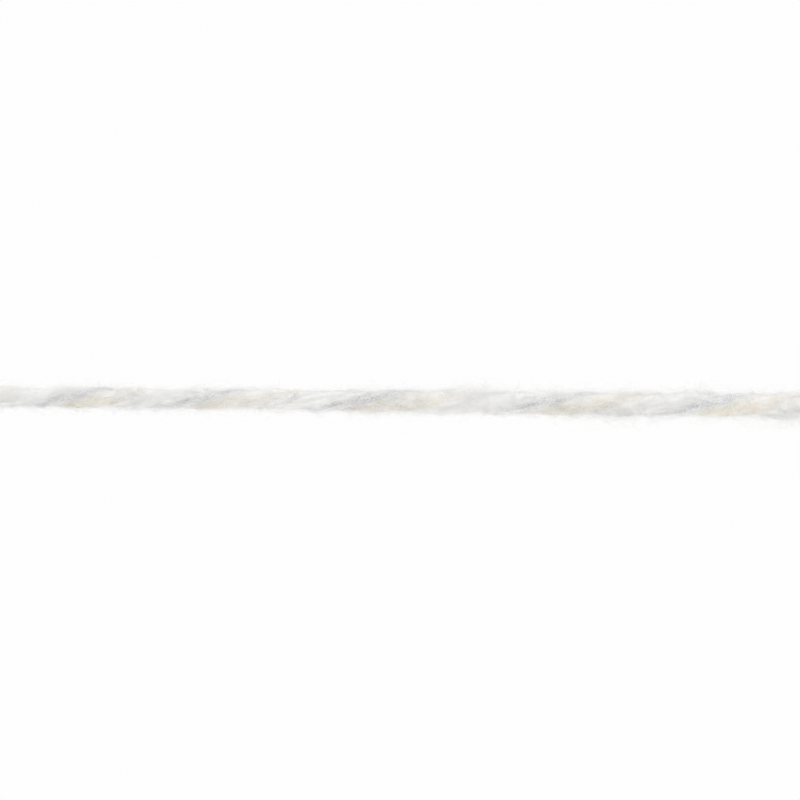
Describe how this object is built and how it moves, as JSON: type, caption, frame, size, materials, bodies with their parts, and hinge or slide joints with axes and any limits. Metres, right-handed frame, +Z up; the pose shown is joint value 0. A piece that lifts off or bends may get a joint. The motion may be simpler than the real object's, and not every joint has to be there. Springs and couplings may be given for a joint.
{
  "type": "knitting yarn strand",
  "caption": "Straight cut length of soft, fuzzy plied knitting yarn in cream, off-white and grey, lying on a table.",
  "frame": {"origin": "on the table under the middle of the strand: the middle of its box in X and Y, and its lowest face in Z", "axes": "+X along the strand, +Z up from the table, +Y across it"},
  "size_m": [0.11, 0.0034, 0.0033],
  "materials": {
    "cream_wool": "soft spun wool single, matt and slightly fuzzy",
    "pale_wool": "loosely spun brushed wool single, matt, the fuzziest of the plies",
    "grey_wool": "thin smooth wool single, matt"
  },
  "bodies": {
    "root": {"ply_cream": "cream_wool", "ply_pale": "pale_wool", "ply_grey": "grey_wool"}
  },
  "joints": []
}
